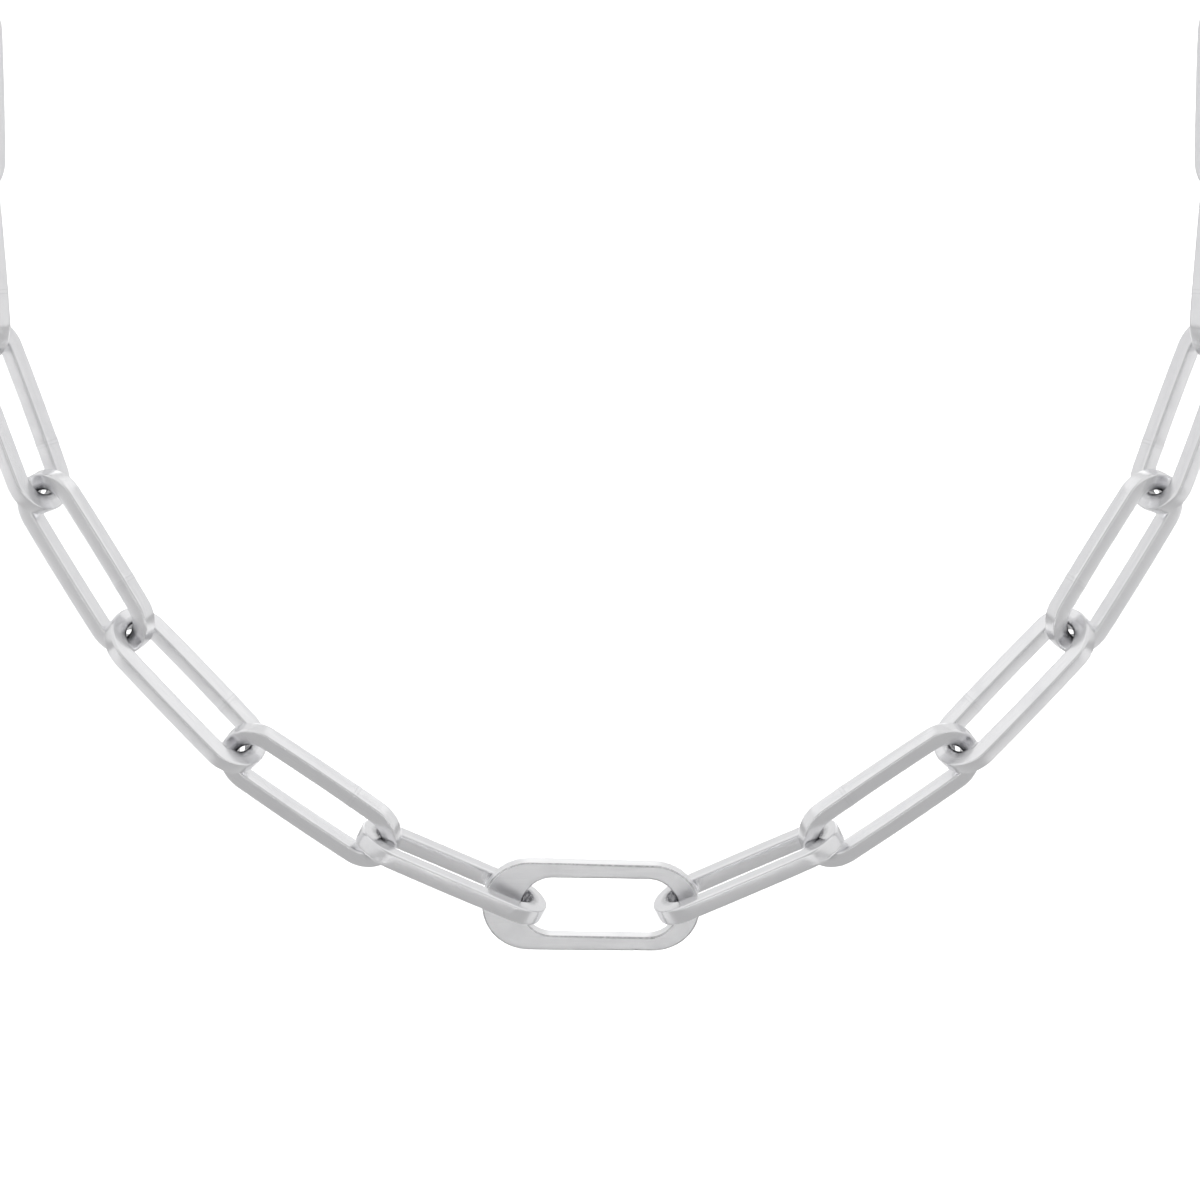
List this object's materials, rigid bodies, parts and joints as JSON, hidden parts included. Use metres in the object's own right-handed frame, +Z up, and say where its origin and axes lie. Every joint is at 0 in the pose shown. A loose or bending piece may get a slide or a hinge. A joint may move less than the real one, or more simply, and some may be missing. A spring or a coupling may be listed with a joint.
{
  "type": "paperclip chain necklace",
  "caption": "Silver paperclip chain necklace of long square-wire links with a broad-ended centre link and a plain claw clasp, hanging as it is worn.",
  "frame": {"origin": "middle of the clasp at the nape, where the chain hangs on the back of the neck", "axes": "+Z up, -Y towards the front of the wearer, +X to the right as seen from the front"},
  "size_m": [0.1172, 0.1017, 0.1042],
  "materials": {
    "silver": "polished"
  },
  "bodies": {
    "root": {"centre_link": "silver", "clasp": "silver", "link_right_1": "silver", "link_right_2": "silver", "link_right_3": "silver", "link_right_4": "silver", "link_right_5": "silver", "link_right_6": "silver", "link_right_7": "silver", "link_right_8": "silver", "link_right_9": "silver", "link_right_10": "silver", "link_right_11": "silver", "link_right_12": "silver", "link_right_13": "silver", "link_right_14": "silver", "link_left_1": "silver", "link_left_2": "silver", "link_left_3": "silver", "link_left_4": "silver", "link_left_5": "silver", "link_left_6": "silver", "link_left_7": "silver", "link_left_8": "silver", "link_left_9": "silver", "link_left_10": "silver", "link_left_11": "silver", "link_left_12": "silver", "link_left_13": "silver", "link_left_14": "silver"}
  },
  "joints": []
}
